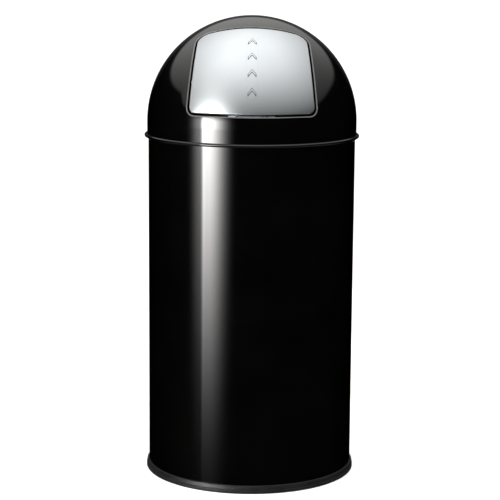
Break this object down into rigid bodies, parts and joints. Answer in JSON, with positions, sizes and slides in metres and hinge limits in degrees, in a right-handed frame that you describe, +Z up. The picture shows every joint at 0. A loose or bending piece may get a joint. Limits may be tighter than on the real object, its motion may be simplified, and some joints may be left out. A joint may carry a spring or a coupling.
{
  "type": "litter bin",
  "caption": "Round floor-standing litter bin with a domed lift-off lid, a sprung push flap in the dome, and a removable inner liner with a folding bail handle.",
  "frame": {"origin": "centre of the footprint, on the floor", "axes": "+Z up along the cylinder's axis, the flap faces -Y, +X to the right seen from the front"},
  "size_m": [0.3536, 0.3534, 0.756],
  "materials": {
    "gloss_black_paint": "high-gloss powder coat over rolled and spun steel, faint orange peel",
    "black_primer": "thin satin black coat inside",
    "brushed_stainless": "satin, fine straight brushing",
    "zinc_plated_steel": "bright zinc plate",
    "spring_steel": "oiled drawn wire",
    "galvanised_steel": "hot-dip galvanised with soft spangle",
    "black_ring_plastic": "satin moulded polypropylene",
    "grip_plastic": "fine-textured moulded tube",
    "nylon": "natural nylon",
    "black_rubber": "matt"
  },
  "bodies": {
    "body": {"body_shell": "gloss_black_paint", "base_pan": "black_primer", "floor_ring": "black_ring_plastic"},
    "dome_lid": {"dome_shell": "gloss_black_paint", "dome_support_ring": "black_primer", "hinge_bracket_right": "zinc_plated_steel", "hinge_bracket_left": "zinc_plated_steel", "hinge_rod": "zinc_plated_steel", "rod_clips": "spring_steel", "return_spring_right": "spring_steel", "return_spring_left": "spring_steel"},
    "flap": {"flap_panel": "brushed_stainless", "flap_arm_right": "zinc_plated_steel", "flap_arm_left": "zinc_plated_steel", "flap_bush_right": "nylon", "flap_bush_left": "nylon", "flap_stop_strip": "zinc_plated_steel", "stop_bumpers": "black_rubber"},
    "liner": {"liner_wall": "galvanised_steel", "liner_base": "galvanised_steel", "liner_ear_right": "zinc_plated_steel", "liner_ear_left": "zinc_plated_steel", "liner_ear_rivets": "zinc_plated_steel"},
    "bail": {"liner_bail": "zinc_plated_steel", "bail_grip": "grip_plastic"}
  },
  "joints": [
    {"name": "lid_lift", "type": "slide", "parent": "body", "child": "dome_lid", "axis": [0, 0, 1], "range_m": [0, 1]},
    {"name": "flap_swing", "type": "hinge", "parent": "dome_lid", "child": "flap", "pos_m": [0, -0.05998, 0.7141], "axis": [1, 0, 0], "range_deg": [0, 58], "stiffness_Nm_per_rad": 0.45, "springref_deg": -45.84, "deforming": ["return_spring_right", "return_spring_left"]},
    {"name": "liner_lift", "type": "slide", "parent": "body", "child": "liner", "axis": [0, 0, 1], "range_m": [0, 0.58]},
    {"name": "bail_swing", "type": "hinge", "parent": "liner", "child": "bail", "pos_m": [0, 0, 0.552], "axis": [1, 0, 0], "range_deg": [0, 180]}
  ],
  "couplings": [
    {"joint": "liner_lift", "follows": "lid_lift", "ratio": 0.56}
  ]
}
